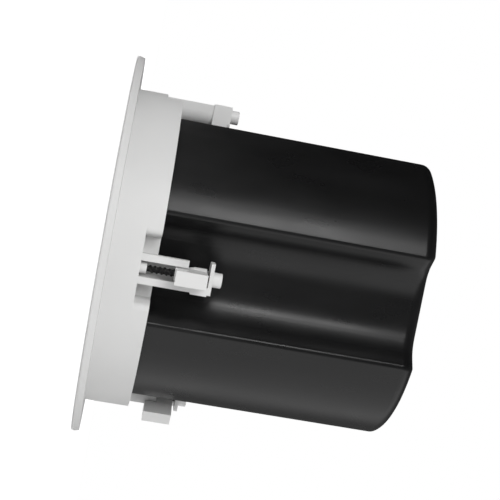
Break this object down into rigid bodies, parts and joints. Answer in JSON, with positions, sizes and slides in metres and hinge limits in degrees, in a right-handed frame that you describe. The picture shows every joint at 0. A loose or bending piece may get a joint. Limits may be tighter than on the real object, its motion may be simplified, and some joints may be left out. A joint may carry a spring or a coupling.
{
  "type": "ceiling speaker",
  "caption": "Round flush ceiling speaker with a flat bezel, perforated grille, swing-out clamps on screw towers and a deep lobed back can.",
  "frame": {"origin": "centre of the bezel's front face, on which the speaker stands", "axes": "+Z along the speaker's axis from the bezel towards the back of the can; the clamps are on -Y, +X, +Y and -X"},
  "size_m": [0.2512, 0.2512, 0.2025],
  "materials": {
    "white_frame": "fine matt moulding",
    "white_dogs": "satin moulding",
    "white_grille": "powder coat, perforated",
    "black_can": "satin moulding",
    "black_plastic": "satin",
    "black_screw": "black oxide steel",
    "brass": "machined",
    "zinc_steel": "zinc plated",
    "black_steel": "black paint",
    "ferrite": "sintered",
    "magnet": "nickel plated",
    "rubber": "matt",
    "paper_cone": "coated paper",
    "spider_cloth": "impregnated cloth",
    "coil_copper": "enamelled copper",
    "dome_silk": "coated silk",
    "foam": "closed-cell foam",
    "board": "phenolic laminate",
    "film": "wrapped film",
    "lamination": "stacked laminations",
    "tape": "winding tape",
    "green_block": "moulded"
  },
  "bodies": {
    "housing": {"front_frame": "white_frame", "grille": "white_grille", "grille_magnets": "magnet", "back_can": "black_can", "can_gasket": "foam", "can_screws": "zinc_steel", "woofer_basket": "black_steel", "woofer_screws": "zinc_steel", "woofer_gasket": "foam", "top_plate": "zinc_steel", "magnet_ring": "ferrite", "yoke": "zinc_steel", "tweeter_post": "zinc_steel", "tweeter_housing": "black_plastic", "tweeter_magnet": "magnet", "tweeter_plate": "zinc_steel", "tweeter_dome": "dome_silk", "tweeter_horn": "black_plastic", "tap_switch": "black_plastic", "terminal_cup": "black_plastic", "terminal_block": "green_block", "cup_screws": "zinc_steel", "crossover_board": "board", "board_screws": "zinc_steel", "crossover_coil": "coil_copper", "crossover_capacitors": "film", "transformer_core": "lamination", "transformer_winding": "tape", "transformer_strap": "zinc_steel", "transformer_screws": "zinc_steel"},
    "near_screw": {"clamp_screw_1": "black_screw", "screw_cap_1": "white_dogs"},
    "near_nut": {"clamp_nut_1": "brass"},
    "near_dog": {"clamp_dog_1": "white_dogs"},
    "bottom_screw": {"clamp_screw_2": "black_screw", "screw_cap_2": "white_dogs"},
    "bottom_dog": {"clamp_dog_2": "white_dogs", "clamp_nut_2": "brass"},
    "far_screw": {"clamp_screw_3": "black_screw", "screw_cap_3": "white_dogs"},
    "far_dog": {"clamp_dog_3": "white_dogs", "clamp_nut_3": "brass"},
    "top_screw": {"clamp_screw_4": "black_screw", "screw_cap_4": "white_dogs"},
    "top_dog": {"clamp_dog_4": "white_dogs", "clamp_nut_4": "brass"},
    "woofer_moving": {"cone": "paper_cone", "voice_coil": "coil_copper", "surround": "rubber", "spider": "spider_cloth"},
    "tap_knob": {"tap_knob": "black_plastic"}
  },
  "joints": [
    {"name": "near_screw_turn", "type": "hinge", "parent": "housing", "child": "near_screw", "pos_m": [0, -0.0975, 0], "axis": [0, 0, 1], "range_deg": [0, 2483]},
    {"name": "near_nut_travel", "type": "slide", "parent": "housing", "child": "near_nut", "axis": [0, 0, -1], "range_m": [0, 0.02]},
    {"name": "near_dog_swing", "type": "hinge", "parent": "near_nut", "child": "near_dog", "pos_m": [0, -0.0975, 0], "axis": [0, 0, 1], "range_deg": [-90, 0]},
    {"name": "bottom_screw_turn", "type": "hinge", "parent": "housing", "child": "bottom_screw", "pos_m": [0.0975, 0, 0], "axis": [0, 0, 1], "range_deg": [-31, 59]},
    {"name": "bottom_dog_swing", "type": "hinge", "parent": "housing", "child": "bottom_dog", "pos_m": [0.0975, 0, 0], "axis": [0, 0, 1], "range_deg": [-31, 59]},
    {"name": "far_screw_turn", "type": "hinge", "parent": "housing", "child": "far_screw", "pos_m": [0, 0.0975, 0], "axis": [0, 0, 1], "range_deg": [0, 90]},
    {"name": "far_dog_swing", "type": "hinge", "parent": "housing", "child": "far_dog", "pos_m": [0, 0.0975, 0], "axis": [0, 0, 1], "range_deg": [0, 90]},
    {"name": "top_screw_turn", "type": "hinge", "parent": "housing", "child": "top_screw", "pos_m": [-0.0975, 0, 0], "axis": [0, 0, 1], "range_deg": [0, 90]},
    {"name": "top_dog_swing", "type": "hinge", "parent": "housing", "child": "top_dog", "pos_m": [-0.0975, 0, 0], "axis": [0, 0, 1], "range_deg": [0, 90]},
    {"name": "cone_travel", "type": "slide", "parent": "housing", "child": "woofer_moving", "axis": [0, 0, 1], "range_m": [-0.003, 0.003], "stiffness_N_per_m": 1000, "deforming": ["surround", "spider"]},
    {"name": "tap_knob_turn", "type": "hinge", "parent": "housing", "child": "tap_knob", "pos_m": [-0.04766, -0.07338, 0], "axis": [0, 0, 1], "range_deg": [0, 120]}
  ],
  "couplings": [
    {"joint": "near_screw_turn", "follows": "near_nut_travel", "rad_per_m": 2166.6},
    {"joint": "bottom_dog_swing", "follows": "bottom_screw_turn", "ratio": 1},
    {"joint": "far_dog_swing", "follows": "far_screw_turn", "ratio": 1},
    {"joint": "top_dog_swing", "follows": "top_screw_turn", "ratio": 1}
  ]
}
